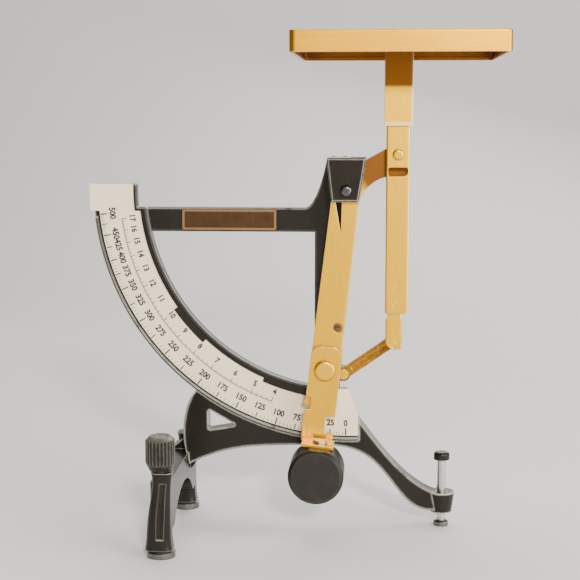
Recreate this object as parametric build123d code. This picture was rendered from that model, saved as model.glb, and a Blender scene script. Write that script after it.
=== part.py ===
from build123d import *
import math
import os

# Counter scale: a pendulum balance with a bell-crank lever, a parallel linkage and a quadrant dial.
# Millimetres. X runs right, Y runs back, Z runs up. The origin is on the table, under the middle.

# Main layout
pivot_height = 156.5
rest_tilt = 6.5
crank_reach = 22.8
crank_rise = 16.0
linkage_drop = 84.5
tail_shift = 1.2
left_foot_reach = 78.2
right_foot_reach = 44.5
foot_spread = 74.0

# Directions, in degrees from the right
straight_down = 270

# Clearances
running_clearance = 0.03
sliding_clearance = 0.06
open_pivot_clearance = 0.15
casting_clearance = 0.2
axial_gap = 0.15
side_gap = 0.45

# Platform and its socket
platform_width = 90.0
platform_top = 224.0
platform_corner = 2.5
platform_sheet = 0.7
platform_edge = 0.63
platform_lip = 9.0
platform_hem = 1.3
socket_bottom = 185.0
socket_wall = 0.9
socket_cap = 1.1
socket_flange_width = 30.0
socket_flange_depth = 24.0
socket_rivet_radius = 1.4
socket_rivet_head_radius = 2.24
socket_rivet_head = 0.6

# Load rod and its tail
rod_width = 10.4
rod_depth = 3.8
rod_web = 1.0
rod_flange = 0.8
rod_edge = 0.7
rod_bottom = 102.0
rod_slot_length = 8.8
rod_slot_height = 4.0
rod_slot_corner = 1.0
rod_slot_drop = 7.6
rod_top_gap = 0.3
tail_width = 7.4
tail_sheet = 1.1
tail_edge = 0.66
tail_foot = 2.2
tail_foot_cut = 2.4
tail_lap = 16.0
tail_lap_width = 6.0
tail_rivet_radius = 1.0
tail_rivet_head_radius = 1.7
tail_rivet_head = 0.6
tail_rivet_rises = (4.8, 12.0)

# Pins of the linkage
link_pin_radius = 1.5
link_pin_head_radius = 2.4
link_pin_head = 0.5
load_pin_head_radius = 2.4
load_pin_head = 1.1
load_pin_collar_radius = 2.1
link_half_width = 2.6
link_thickness = 1.1
link_groove_width = 1.7
link_groove_length = 19.0
link_groove_depth = 0.45
clip_thickness = 0.6
clip_radius = 2.6

# Pendulum lever
lever_depth = 5.4
lever_sheet = 1.3
lever_top_width = 12.3
lever_bottom_width = 14.4
lever_length = 100.0
lever_elbow_radius = 15.0
lever_corner_radius = 3.0
crank_elbow_width = 14.4
crank_heel_rise = 5.8
crank_shoulder_rise = 2.7
crank_tip_rise = 4.5
crank_tip_drop = 9.8
crank_tip_reach = 4.8
crank_tip_radius = 2.5
hub_radius = 6.0
hub_sleeve_radius = 4.6
sight_slot_top = 5.4
sight_slot_tip = 19.1
sight_slot_left = -4.3
sight_slot_right = -1.4
sight_slot_tip_offset = -0.3
index_lug_reach = 0.6
index_lug_height = 1.8
index_lug_radius = 97.6

# Main bearing
axle_radius = 2.5
journal_radius = 1.2
journal_length = 2.0
pivot_screw_radius = 2.0
pivot_screw_head_radius = 2.6
pivot_screw_head = 1.7
locknut_size = 8.0
locknut_thickness = 2.5

# Bearing cover
cover_top = 14.5
cover_bottom = -5.1
cover_top_half_width = 8.9
cover_bottom_left = -6.6
cover_bottom_right = 5.6
cover_wall = 2.2
cover_roof = 3.0
cover_bevel = 0.7
cover_roof_right = 1.5
cover_screw_radius = 1.0
cover_screw_length = 5.0
cover_screw_head_radius = 1.9
cover_screw_head = 1.6
cover_screws_left = -6.2
cover_screw_spread = 5.2

# Flip screw, weight arm and bob
flip_radius = 81.9
flip_screw_radius = 3.0
flip_head_radius = 4.8
flip_head = 1.5
flip_nut_size = 9.0
flip_nut_thickness = 2.6
washer_thickness = 0.55
washer_radius = 6.4
trim_radius = 62.0
trim_offset = 3.4
trim_head_radius = 1.7
trim_head = 0.25
trim_shank_radius = 1.0
trim_recess_radius = 2.3
trim_recess_depth = 0.6
screw_slot_width = 0.6
screw_slot_depth = 0.5
dome_share = 0.8
weight_sheet = 1.4
weight_width = 14.2
weight_start = 71.0
weight_end = 115.0
weight_corner = 4.5
weight_notch_depth = 4.2
weight_notch_corner = 1.4
weight_notch_top = 102.6
weight_notch_height = 7.8
index_notch_depth = 2.4
index_notch_height = 5.6
tab_depth = 12.0
tab_shift = 1.9
tab_margin = 0.8
bob_radius = 12.4
bob_thickness = 19.6
bob_centre = 126.7
bob_bevel = 1.4
bob_screw_radius = 2.0
bob_screw_head_radius = 3.2
bob_screw_head = 1.2
bob_screw_length = 10.0

# Quadrant frame
rim_inner = 91.7
rim_band = 24.3
rim_right_end = 5.8
frame_thickness = 4.0
bead_width = 1.0
outer_bead_top_angle = 83.5
quadrant_top = 2.2
quadrant_start_angle = -6.0
quadrant_end_angle = 96.0
bar_top = -8.5
bar_height = 11.0
post_left = -14.5
post_foot_right = -3.0
post_head_right = 4.2
shoulder_rise = 13.5
shoulder_bow = 2.5
shoulder_left = -19.0
bearing_boss_radius = 6.6
bearing_boss = 2.0
link_boss_radius = 3.4
frame_bevel = 0.5

# Dial plate and name plate
dial_thickness = 1.0
dial_inner_gap = 2.3
dial_outer_gap = 1.4
dial_chamfer_width = 5.0
dial_chamfer_height = 11.4
corner_margin = 0.7
dial_tab_left = -7.0
dial_step_angle = 23.5
dial_step_depth = 1.8
dial_notch_depth = 2.0
dial_notch_start = 43.0
dial_notch_end = 55.0
end_block_overhang = 1.6
end_block_step = 2.6
end_block_height = 12.4
end_block_border = 1.6
dial_stud_radius = 1.2
dial_stud_head = 0.7
dial_stud_angles = (43.0, 58.0, 73.0, 87.0)
name_plate_left = -75.0
name_plate_width = 43.0
name_plate_height = 9.3
name_plate_thickness = 1.0
name_plate_border = 1.0
name_plate_corner = 0.8
name_field_depth = 0.3
name_stud_spread = 32.6

# Stand
stand_lap = 4.0
saddle_setback = 8.3
saddle_left_angle = 36.7
leg_start_height = 50.6
leg_margin_top = 0.8
leg_margin_bottom = 2.0
leg_fall = (0.36, -13.0)
leg_flare = (0.63, 4.0)
leg_toe = (0.7, 1.9)
leg_instep = ((0.47, -16.2), (0.19, -3.9), (-0.5, 0.0))
strut_instep = (18.0, 7.0)
strut_bow_low = (-3.4, 9.0)
strut_bow_high = (-4.0, 22.0)
strut_bulge = 4.6
strut_corner_height = 27.7
strut_corner_inset = 0.9
belly_drop = 2.7
window_left = -63.9
window_floor = 44.4
window_slope = 0.17
window_wall = 4.6
window_reach = 24.0
window_corner = 0.7
boss_radius = 6.0
boss_taper = 1.2
boss_bottom = 6.5
boss_top = 16.3
stand_screw_radius = 1.5
stand_screw_bite = 2.8
stand_screw_head_radius = 2.8
stand_screw_head = 1.6
stand_screw_angles = (2.0, 17.0, 32.0)

# Left foot yoke and the rear foot
yoke_top = 33.0
yoke_arch_height = 23.0
yoke_width = 9.0
column_top = 37.6
column_neck_width = 9.4
column_waist_width = 9.8
column_foot_width = 12.0
column_collar = 1.0
column_rounding = 0.32
column_ankle_rise = 4.0
column_waist_rise = 15.0
column_neck_drop = 3.0
column_bottom = 3.6
column_neck_shift = 0.8
column_waist_shift = -0.4
column_foot_shift = -0.7
groove_radius = 2.6
groove_depth = 0.7
groove_shift = 0.9
groove_top = 33.0
groove_bottom = 8.5
strap_thickness = 4.5
strap_right = 13.4
strap_top = 52.0
strap_top_width = 10.0
strap_neck_width = 11.0
strap_neck = 6.0
strap_elbow = 3.0
strap_slant = 8.0
strap_root = 9.0
yoke_screw_radius = 1.5
yoke_screw_drops = (5.0, 14.0)
foot_pad_radius = 6.2
foot_pad_height = 3.2
foot_pad_bevel_share = 0.3

# Levelling screws
front_stem_radius = 2.5
knob_radius = 6.4
knob_bottom = 38.4
knob_height = 15.0
knob_waist_radius = 4.8
knob_waist_height = 3.4
knob_bevel_width = 1.9
knob_bevel_height = 2.0
knob_dish_depth = 0.5
knob_flutes = 24
flute_radius = 0.55
right_stem_radius = 2.0
right_cap_radius = 3.7
right_cap_top = 35.0
right_cap_height = 3.6
right_cap_rounding = 1.44
right_pad_radius = 3.4
right_pad_height = 2.6

# Depths, worked out from the load rod at the front to the stand at the back
rod_front = -rod_depth / 2
rod_back = rod_depth / 2
socket_back = rod_back + sliding_clearance + socket_wall
lever_front = socket_back + side_gap
lever_back = lever_front + lever_depth
link_pin_front = lever_back + side_gap
link_front = link_pin_front + link_pin_head + axial_gap
link_back = link_front + link_thickness
dial_front = link_back + side_gap
frame_front = dial_front + dial_thickness
frame_back = frame_front + frame_thickness
stand_back = frame_back + stand_lap
strap_back = stand_back + strap_thickness
weight_back = lever_front - washer_thickness
weight_front = weight_back - weight_sheet
bob_back = weight_back - casting_clearance
bob_front = bob_back - bob_thickness
tab_front = weight_front - tab_depth
tab_middle = (tab_front + weight_front) / 2
cover_inside = lever_front - 3 * side_gap
cover_front = cover_inside - cover_wall

# Places across the front
rim_outer = rim_inner + rim_band
block_outer = rim_outer + end_block_overhang
pivot_x = (block_outer - crank_reach - platform_width / 2) / 2
rod_x = pivot_x + crank_reach
load_pin_z = pivot_height + crank_rise
tail_x = rod_x - tail_shift
tail_z = load_pin_z - linkage_drop
link_pivot = (-tail_shift, -linkage_drop)
left_foot_x = pivot_x - left_foot_reach
right_foot_x = pivot_x + right_foot_reach
right_foot_y = (frame_front + stand_back) / 2
foot_y = foot_spread / 2
crank_length = math.hypot(crank_reach, crank_rise)
rod_top = platform_top - platform_sheet - socket_cap - rod_top_gap
rim_bottom = pivot_height - rim_outer
saddle_inner = rim_inner + saddle_setback
dial_inner = rim_inner + bead_width + dial_inner_gap
dial_outer = rim_outer - bead_width - dial_outer_gap
dial_right_end = rim_right_end
block_inner = dial_inner + end_block_step
dial_middle = (dial_inner + dial_outer) / 2


# Helpers: flat profiles are drawn in X and Z, and given a front and a back
def slab(profile, front, back):
    plane = Plane(origin=(0, back, 0), x_dir=(1, 0, 0), z_dir=(0, -1, 0))
    return extrude(plane * profile, amount=back - front)


def pin(x, z, radius, front, back):
    return slab(Pos(x, z) * Circle(radius), front, back)


def post(x, y, radius, bottom, top):
    return Pos(x, y, bottom) * extrude(Circle(radius), amount=top - bottom)


def polar(radius, angle):
    """A point about the pivot; the angle is counted leftwards from straight down."""
    turn = math.radians(angle)
    return (-radius * math.sin(turn), -radius * math.cos(turn))


def ring_part(inner, outer, start, end):
    """A piece of a flat ring about the pivot, between two angles from straight down."""
    rim = CenterArc((0, 0), outer, straight_down - end, end - start)
    bore = CenterArc((0, 0), inner, straight_down - end, end - start)
    return make_face([rim, Line(rim @ 1, bore @ 1), bore, Line(bore @ 0, rim @ 0)])


def box_between(left, right, bottom, top):
    centre = Pos((left + right) / 2, (bottom + top) / 2)
    return centre * Rectangle(right - left, top - bottom)


def from_pivot(profile):
    return Pos(pivot_x, pivot_height) * profile


def hung(solid):
    """Swings a solid drawn hanging straight down from the pivot into the lever's resting place."""
    return Pos(pivot_x, 0, pivot_height) * Rot(0, rest_tilt, 0) * solid


def upright(x, z):
    """A place beside the pivot, as seen from the front, in the drawing of the hanging lever."""
    turn = math.radians(rest_tilt)
    return (x * math.cos(turn) - z * math.sin(turn), x * math.sin(turn) + z * math.cos(turn))


def front_edges(solid):
    return solid.faces().sort_by(Axis.Y)[0].edges()


def screw_slot(x, z, radius, mouth, floor):
    """The cut for a screwdriver across a head, between two depths."""
    return slab(Pos(x, z) * Rectangle(2 * radius + 1, screw_slot_width), mouth, floor)


def slotted(head, x, z, radius, head_back):
    """A head at the scale's back, with its slot."""
    return head - screw_slot(x, z, radius, head_back - screw_slot_depth, head_back)


def dome(x, z, radius, front, back):
    """A low domed head about an axis that runs back, rounded on its front edge."""
    head = pin(x, z, radius, front, back)
    return fillet(front_edges(head), min(back - front, radius) * dome_share)


# Quadrant frame
def quadrant_outline(inner, outer, right_end):
    arc = ring_part(inner, outer, quadrant_start_angle, quadrant_end_angle)
    window = box_between(-2 * outer, right_end, -2 * outer, quadrant_top)
    return arc & window


def post_outline():
    foot_z = -rim_inner - bead_width
    head_left = -cover_top_half_width
    left = Line((post_left, foot_z), (post_left, bar_top - bar_height / 2))
    inward = Line(left @ 1, (shoulder_left, bar_top))
    swell = (head_left - shoulder_bow, cover_top - shoulder_rise)
    shoulder = Bezier((shoulder_left, bar_top), (post_left - 1, bar_top), swell, (head_left, cover_top))
    head = Line(shoulder @ 1, (cover_top_half_width, cover_top))
    right = Line(head @ 1, (post_head_right, -bearing_boss_radius))
    lower = Line(right @ 1, (post_foot_right, foot_z))
    return make_face([left, inward, shoulder, head, right, lower, Line(lower @ 1, left @ 0)])


def right_corner(margin):
    """The slanting cut at the right end of the dial, and a little deeper behind it."""
    top = -rim_inner + 1
    bottom = -rim_inner - dial_chamfer_height
    slope = dial_chamfer_height + 1
    deeper = bottom - margin * slope / dial_chamfer_width
    return Polygon(
        (rim_right_end + 1, top),
        (rim_right_end - dial_chamfer_width - margin, top),
        (rim_right_end, deeper),
        (rim_right_end + 1, deeper),
        align=None)


def behind_block():
    """The rim's inner side beside the end block, above the top bar, which is cut back."""
    upper = box_between(-rim_outer, -rim_inner / 2, bar_top, quadrant_top + 1)
    return upper & Circle(block_inner - end_block_border)


def frame_outline():
    bar_left = -math.sqrt(rim_inner ** 2 - bar_top ** 2) - bead_width
    outline = quadrant_outline(rim_inner, rim_outer, rim_right_end)
    outline -= right_corner(corner_margin)
    outline -= behind_block()
    outline += box_between(bar_left, post_left + bead_width, bar_top - bar_height, bar_top)
    outline += post_outline()
    return outline


def quadrant_frame():
    frame = slab(from_pivot(frame_outline()), frame_front, frame_back)
    frame = chamfer(front_edges(frame), frame_bevel)
    inner_bead = quadrant_outline(rim_inner, rim_inner + bead_width, dial_tab_left)
    inner_bead -= box_between(-rim_outer, -rim_inner / 2, bar_top, quadrant_top + 1)
    outer_bead = ring_part(rim_outer - bead_width, rim_outer, quadrant_start_angle, outer_bead_top_angle)
    outer_bead &= box_between(-2 * rim_outer, rim_right_end, -2 * rim_outer, 0)
    frame += slab(from_pivot(inner_bead + outer_bead), dial_front, frame_front + frame_bevel)
    frame += pin(pivot_x, pivot_height, bearing_boss_radius, frame_front - bearing_boss, frame_back)
    link_x = pivot_x + link_pivot[0]
    link_z = pivot_height + link_pivot[1]
    frame += pin(link_x, link_z, link_boss_radius, link_back + axial_gap, frame_back)
    frame -= pin(pivot_x, pivot_height, pivot_screw_radius, dial_front - frame_thickness, frame_back)
    frame -= pin(link_x, link_z, link_pin_radius, link_back, frame_back)
    for angle in dial_stud_angles:
        frame -= slab(stud_circle(angle), frame_front, frame_back)
    for x in name_stud_places():
        frame -= pin(x, name_plate_middle(), dial_stud_radius, frame_front, frame_back)
    for angle in stand_screw_angles:
        frame -= slab(saddle_circle(angle, stand_screw_radius), frame_back - stand_screw_bite, frame_back)
    for x in cover_screw_places():
        frame -= pin(x, cover_screw_height(), cover_screw_radius, frame_front, frame_back)
    return frame


def stud_circle(angle):
    x, z = polar(dial_middle, angle)
    return from_pivot(Pos(x, z) * Circle(dial_stud_radius))


def saddle_circle(angle, radius):
    x, z = polar((saddle_inner + rim_outer) / 2, angle)
    return from_pivot(Pos(x, z) * Circle(radius))


# Dial plate, held by studs that are peened over behind the frame
def dial_plate():
    plate = quadrant_outline(dial_inner, dial_outer, dial_right_end) & box_between(
        -2 * dial_outer, dial_right_end, -2 * dial_outer, quadrant_top - end_block_height)
    notch = ring_part(dial_inner - 1, dial_inner + dial_notch_depth, dial_notch_start, dial_notch_end)
    step = ring_part(dial_inner - 1, dial_inner + dial_step_depth, quadrant_start_angle, dial_step_angle)
    tab = quadrant_outline(rim_inner, dial_inner + 2 * dial_step_depth, dial_right_end) & box_between(
        dial_tab_left, dial_right_end, -rim_outer, 0)
    block = quadrant_outline(block_inner, block_outer, 0) & box_between(
        -2 * rim_outer, 0, quadrant_top - end_block_height, quadrant_top)
    face = plate - notch - step + tab - right_corner(0) + block
    return slab(from_pivot(face), dial_front, frame_front)


def dial_studs():
    studs = []
    for angle in dial_stud_angles:
        stud = slab(stud_circle(angle), frame_front, frame_back + dial_stud_head)
        x, z = polar(dial_middle, angle)
        head_back = frame_back + dial_stud_head
        head = pin(pivot_x + x, pivot_height + z, 2 * dial_stud_radius, frame_back, head_back)
        studs.append(stud + head)
    return studs


# Name plate on the top bar: a bare plate inside a raised border
def name_plate_middle():
    return pivot_height + bar_top - bar_height / 2


def name_plate_centre():
    return pivot_x + name_plate_left + name_plate_width / 2


def name_stud_places():
    return [name_plate_centre() + side * name_stud_spread / 2 for side in (-1, 1)]


def name_plate():
    centre = Pos(name_plate_centre(), name_plate_middle())
    outline = RectangleRounded(name_plate_width, name_plate_height, name_plate_corner)
    field = Rectangle(name_plate_width - 2 * name_plate_border, name_plate_height - 2 * name_plate_border)
    plate_front = frame_front - name_plate_thickness
    plate = slab(centre * outline, plate_front, frame_front)
    return plate - slab(centre * field, plate_front, plate_front + name_field_depth)


def name_plate_studs():
    studs = []
    for x in name_stud_places():
        stud = pin(x, name_plate_middle(), dial_stud_radius, frame_front, frame_back + dial_stud_head)
        head = pin(x, name_plate_middle(), 2 * dial_stud_radius, frame_back, frame_back + dial_stud_head)
        studs.append(stud + head)
    return studs


# Bearing cover: a tapered front wall under a roof that reaches back to the post
def cover_screw_places():
    left = pivot_x + cover_screws_left
    return [left, left + cover_screw_spread]


def cover_screw_height():
    return pivot_height + cover_top - cover_roof / 2


def bearing_cover():
    front = Polygon(
        (-cover_top_half_width, cover_top),
        (cover_bottom_left, cover_bottom),
        (cover_bottom_right, cover_bottom),
        (cover_top_half_width, cover_top),
        align=None)
    wall = slab(from_pivot(front), cover_front, cover_inside)
    wall = chamfer(front_edges(wall), cover_bevel)
    roof_band = box_between(-cover_top_half_width, cover_roof_right, cover_top - cover_roof, cover_top)
    wall += slab(from_pivot(front & roof_band), cover_inside, frame_front)
    wall -= pin(pivot_x, pivot_height, pivot_screw_radius, cover_front, cover_inside)
    tip = frame_front - cover_screw_length
    for x in cover_screw_places():
        wall -= pin(x, cover_screw_height(), cover_screw_radius, tip, frame_front)
    return wall


def cover_screws():
    screws = []
    for x in cover_screw_places():
        shank = pin(x, cover_screw_height(), cover_screw_radius, frame_front - cover_screw_length, frame_back)
        head_back = frame_back + cover_screw_head
        head = pin(x, cover_screw_height(), cover_screw_head_radius, frame_back, head_back)
        screws.append(shank + slotted(head, x, cover_screw_height(), cover_screw_head_radius, head_back))
    return screws


# Main bearing: two cupped screws carry the journals of the axle
def pivot_screw_bore(mouth, depth):
    return pin(pivot_x, pivot_height, journal_radius + running_clearance, mouth, mouth + depth)


def front_screw_end():
    return cover_inside + side_gap


def rear_screw_end():
    return frame_front - bearing_boss


def front_pivot_screw():
    screw = dome(pivot_x, pivot_height, pivot_screw_head_radius, cover_front - pivot_screw_head, cover_front)
    screw += pin(pivot_x, pivot_height, pivot_screw_radius, cover_front, front_screw_end())
    bore_depth = journal_length + axial_gap
    return screw - pivot_screw_bore(front_screw_end() - bore_depth, bore_depth)


def rear_pivot_screw():
    tip = frame_back + locknut_thickness + 1
    screw = pin(pivot_x, pivot_height, pivot_screw_radius, rear_screw_end(), tip)
    screw -= screw_slot(pivot_x, pivot_height, pivot_screw_radius, tip - 2 * screw_slot_depth, tip)
    return screw - pivot_screw_bore(rear_screw_end(), journal_length + axial_gap)


def pivot_locknut():
    nut = RegularPolygon(locknut_size / 2, 6, major_radius=False) - Circle(pivot_screw_radius)
    return slab(from_pivot(nut), frame_back, frame_back + locknut_thickness)


def pivot_axle():
    body = pin(0, 0, axle_radius, front_screw_end() + axial_gap, rear_screw_end() - axial_gap)
    body += pin(0, 0, journal_radius, front_screw_end() - journal_length, rear_screw_end() + journal_length)
    return hung(body)


# Pendulum lever: a bell crank pressed as a shallow channel that opens backwards
def load_pin_place():
    return upright(crank_reach, crank_rise)


def lever_outline():
    half_top = lever_top_width / 2
    half_bottom = lever_bottom_width / 2
    elbow = crank_rise - crank_tip_drop
    heel = upright(-half_top, crank_heel_rise)
    shoulder = upright(crank_reach - crank_tip_reach, crank_rise + crank_shoulder_rise)
    tip_top = upright(crank_reach + crank_tip_reach, crank_rise + crank_tip_rise)
    tip_bottom = upright(crank_reach + crank_tip_reach, elbow)
    points = [
        (-half_bottom, -lever_length),
        (half_bottom, -lever_length),
        upright(crank_elbow_width / 2, elbow),
        tip_bottom,
        tip_top,
        shoulder,
        (-half_top, heel[1]),
    ]
    radii = [
        lever_corner_radius, lever_corner_radius, lever_elbow_radius, crank_tip_radius, crank_tip_radius,
        crank_tip_radius, lever_corner_radius]
    edges = FilletPolyline(*points, radius=radii, close=True)
    return make_face(edges) + Circle(hub_radius)


def pendulum_lever():
    outline = lever_outline()
    lever = slab(outline, lever_front, lever_back)
    lever -= slab(offset(outline, -lever_sheet), lever_front + lever_sheet, lever_back)
    lever += pin(0, 0, hub_sleeve_radius, lever_front + lever_sheet, lever_back)
    lug_x = -lever_bottom_width / 2 - index_lug_reach / 2 + lever_sheet / 2
    lug = Pos(lug_x, -index_lug_radius) * Rectangle(index_lug_reach + lever_sheet, index_lug_height)
    lever += slab(lug, lever_front, lever_front + lever_sheet)
    sight = Polygon(
        (sight_slot_left, -sight_slot_top),
        (sight_slot_tip_offset, -sight_slot_tip),
        (sight_slot_right, -sight_slot_top),
        align=None)
    lever -= slab(sight, lever_front, lever_front + lever_sheet)
    lever -= pin(0, 0, axle_radius, lever_front, lever_back)
    lever -= pin(0, -flip_radius, flip_screw_radius, lever_front, lever_front + lever_sheet)
    lever -= pin(trim_offset, -trim_radius, trim_shank_radius, lever_front, lever_front + lever_sheet)
    lever -= pin(trim_offset, -trim_radius, trim_recess_radius, lever_front, lever_front + trim_recess_depth)
    pin_x, pin_z = load_pin_place()
    lever -= pin(pin_x, pin_z, link_pin_radius, lever_front, lever_front + lever_sheet)
    return hung(lever)


def load_pin():
    head_back = rod_front - axial_gap
    head_front = head_back - load_pin_head
    body = dome(rod_x, load_pin_z, load_pin_head_radius, head_front, head_back)
    body += pin(rod_x, load_pin_z, link_pin_radius, head_back, lever_front + 2 * lever_sheet)
    collar_front = rod_front + rod_web + axial_gap
    body += pin(rod_x, load_pin_z, load_pin_collar_radius, collar_front, lever_front)
    body += pin(
        rod_x, load_pin_z, load_pin_collar_radius, lever_front + lever_sheet, lever_front + 2 * lever_sheet)
    return body


def trim_screw():
    head_front = lever_front - trim_head
    head_back = lever_front + trim_recess_depth
    screw = pin(trim_offset, -trim_radius, trim_head_radius, head_front, head_back)
    slot_floor = head_front + screw_slot_depth
    screw -= screw_slot(trim_offset, -trim_radius, trim_head_radius, head_front, slot_floor)
    screw += pin(trim_offset, -trim_radius, trim_shank_radius, head_back, lever_back - lever_sheet)
    return hung(screw)


def flip_screw():
    head_back = weight_front - axial_gap
    screw = dome(0, -flip_radius, flip_head_radius, head_back - flip_head, head_back)
    tip = lever_front + lever_sheet + flip_nut_thickness
    screw += pin(0, -flip_radius, flip_screw_radius, head_back, tip)
    return hung(screw)


def flip_nut():
    front = lever_front + lever_sheet
    nut = RegularPolygon(flip_nut_size / 2, 6, major_radius=False) - Circle(flip_screw_radius)
    return hung(slab(Pos(0, -flip_radius) * nut, front, front + flip_nut_thickness))


def friction_washer():
    ring = Circle(washer_radius) - Circle(flip_screw_radius)
    return hung(slab(Pos(0, -flip_radius) * ring, weight_back + axial_gap / 3, lever_front))


# Weight arm and bob, which turn over on the flip screw to change the range
def weight_arm():
    half = weight_width / 2
    outline = box_between(-half, half, -weight_end, -weight_start)
    outline = fillet(outline.vertices().group_by(Axis.Y)[-1], weight_corner)
    notch_middle = -(weight_notch_top + weight_notch_height / 2)
    window = Pos(half, notch_middle) * Rectangle(2 * weight_notch_depth, weight_notch_height)
    outline -= fillet(window.vertices().group_by(Axis.X)[0], weight_notch_corner)
    outline -= Pos(-half, -index_lug_radius) * Rectangle(2 * index_notch_depth, index_notch_height)
    arm = slab(outline, weight_front, weight_back)
    tab = box_between(
        -half + tab_margin, tab_shift + half - tab_margin, -weight_end, -weight_end + weight_sheet)
    arm += slab(tab, tab_front, weight_front)
    arm -= pin(0, -flip_radius, flip_screw_radius + running_clearance, weight_front, weight_back)
    arm -= post(tab_shift, tab_middle, bob_screw_radius, -weight_end, -weight_end + weight_sheet)
    return hung(arm)


def weight_bob():
    bob = pin(tab_shift, -bob_centre, bob_radius, bob_front, bob_back)
    bob = chamfer(bob.edges(), bob_bevel)
    seat = box_between(-2 * bob_radius, 2 * bob_radius, -weight_end, -weight_end + bob_radius)
    bob -= slab(seat, bob_front, bob_back)
    bob -= post(tab_shift, tab_middle, bob_screw_radius, -weight_end - bob_screw_length, -weight_end)
    return hung(bob)


def bob_screw():
    seat = -weight_end + weight_sheet
    top = seat + bob_screw_head
    screw = post(tab_shift, tab_middle, bob_screw_radius, -weight_end - bob_screw_length, seat)
    screw += post(tab_shift, tab_middle, bob_screw_head_radius, seat, top)
    screw -= Pos(tab_shift, tab_middle, top) * Box(
        2 * bob_screw_head_radius + 1, screw_slot_width, 2 * screw_slot_depth)
    return hung(screw)


# Load rod: a channel that opens backwards
def load_rod():
    width = box_between(-rod_width / 2, rod_width / 2, rod_bottom, rod_top)
    inside = box_between(-rod_width / 2 + rod_flange, rod_width / 2 - rod_flange, rod_bottom, rod_top)
    place = Pos(rod_x, 0)
    rod = slab(place * width, rod_front, rod_back)
    rod = fillet(front_edges(rod).filter_by(Axis.Z), rod_edge)
    rod -= slab(place * inside, rod_front + rod_web, rod_back)
    rod -= pin(rod_x, load_pin_z, link_pin_radius + running_clearance, rod_front, rod_back)
    slot = RectangleRounded(rod_slot_length, rod_slot_height, rod_slot_corner)
    rod -= slab(Pos(rod_x, load_pin_z - rod_slot_drop) * slot, rod_front, rod_back)
    for z in tail_rivet_heights():
        rod -= pin(tail_x, z, tail_rivet_radius, rod_front, rod_front + rod_web)
    return rod


def tail_rivet_heights():
    return [rod_bottom + height for height in tail_rivet_rises]


# Rod tail: a narrow channel under the rod, whose cheeks reach back to the link
def rod_tail():
    half = tail_width / 2
    bottom = tail_z - tail_foot
    front = rod_front + rod_web
    cheek_back = link_front - 3 * axial_gap
    place = Pos(tail_x, 0)
    strip = box_between(-tail_lap_width / 2, tail_lap_width / 2, bottom, rod_bottom + tail_lap)
    tail = slab(place * strip, front, front + tail_sheet)
    block = slab(place * box_between(-half, half, bottom, rod_bottom - axial_gap), front, cheek_back)
    block = fillet(front_edges(block).filter_by(Axis.Z), tail_edge)
    hollow = box_between(-half + tail_sheet, half - tail_sheet, bottom, rod_bottom)
    cheeks = block - slab(place * hollow, front + tail_sheet, cheek_back)
    slope = Plane(origin=(tail_x, cheek_back, tail_z + link_pin_radius), z_dir=(0, 1, 1))
    beyond = Box(4 * tail_width, 4 * link_front, 4 * link_front)
    cheeks -= split(Pos(tail_x, 0, rod_bottom) * beyond, slope, keep=Keep.TOP)
    tail += cheeks
    corner = Polygon(
        (-half, bottom),
        (-half + tail_foot_cut, bottom),
        (-half, bottom + tail_foot_cut),
        align=None)
    tail -= slab(place * corner, front, cheek_back)
    tail -= pin(tail_x, tail_z, link_pin_radius, front, front + tail_sheet)
    for z in tail_rivet_heights():
        tail -= pin(tail_x, z, tail_rivet_radius, front, front + tail_sheet)
    return tail


def tail_rivets():
    rivets = []
    for z in tail_rivet_heights():
        back = rod_front + rod_web + tail_sheet
        body = pin(tail_x, z, tail_rivet_radius, rod_front, back)
        rivets.append(body + pin(tail_x, z, tail_rivet_head_radius, back, back + tail_rivet_head))
    return rivets


def tail_pin():
    front = rod_front + rod_web
    sleeve_back = link_front - axial_gap
    sleeve_radius = tail_width / 2 - tail_sheet
    body = pin(tail_x, tail_z, link_pin_radius, front, link_back + 2 * axial_gap + clip_thickness)
    body += pin(tail_x, tail_z, sleeve_radius, front + tail_sheet, sleeve_back)
    return body


def tail_clip():
    front = link_back + axial_gap
    ring = Circle(clip_radius) - Circle(link_pin_radius)
    return slab(Pos(tail_x, tail_z) * ring, front, front + clip_thickness)


# Lower link, which keeps the rod upright
def lower_link():
    x = pivot_x + link_pivot[0]
    z = pivot_height + link_pivot[1]
    angle = math.degrees(math.atan2(crank_rise, crank_reach))
    middle = Pos((x + tail_x) / 2, (z + tail_z) / 2) * Rot(0, 0, angle)
    bar = middle * SlotCenterToCenter(crank_length, 2 * link_half_width)
    bar -= Pos(x, z) * Circle(link_pin_radius + running_clearance)
    bar -= Pos(tail_x, tail_z) * Circle(link_pin_radius + open_pivot_clearance)
    groove = middle * SlotOverall(link_groove_length, link_groove_width)
    return slab(bar, link_front, link_back) - slab(groove, link_front, link_front + link_groove_depth)


def link_pivot_pin():
    x = pivot_x + link_pivot[0]
    z = pivot_height + link_pivot[1]
    head = pin(x, z, link_pin_head_radius, link_pin_front, link_pin_front + link_pin_head)
    return head + pin(x, z, link_pin_radius, link_pin_front + link_pin_head, frame_back)


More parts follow.
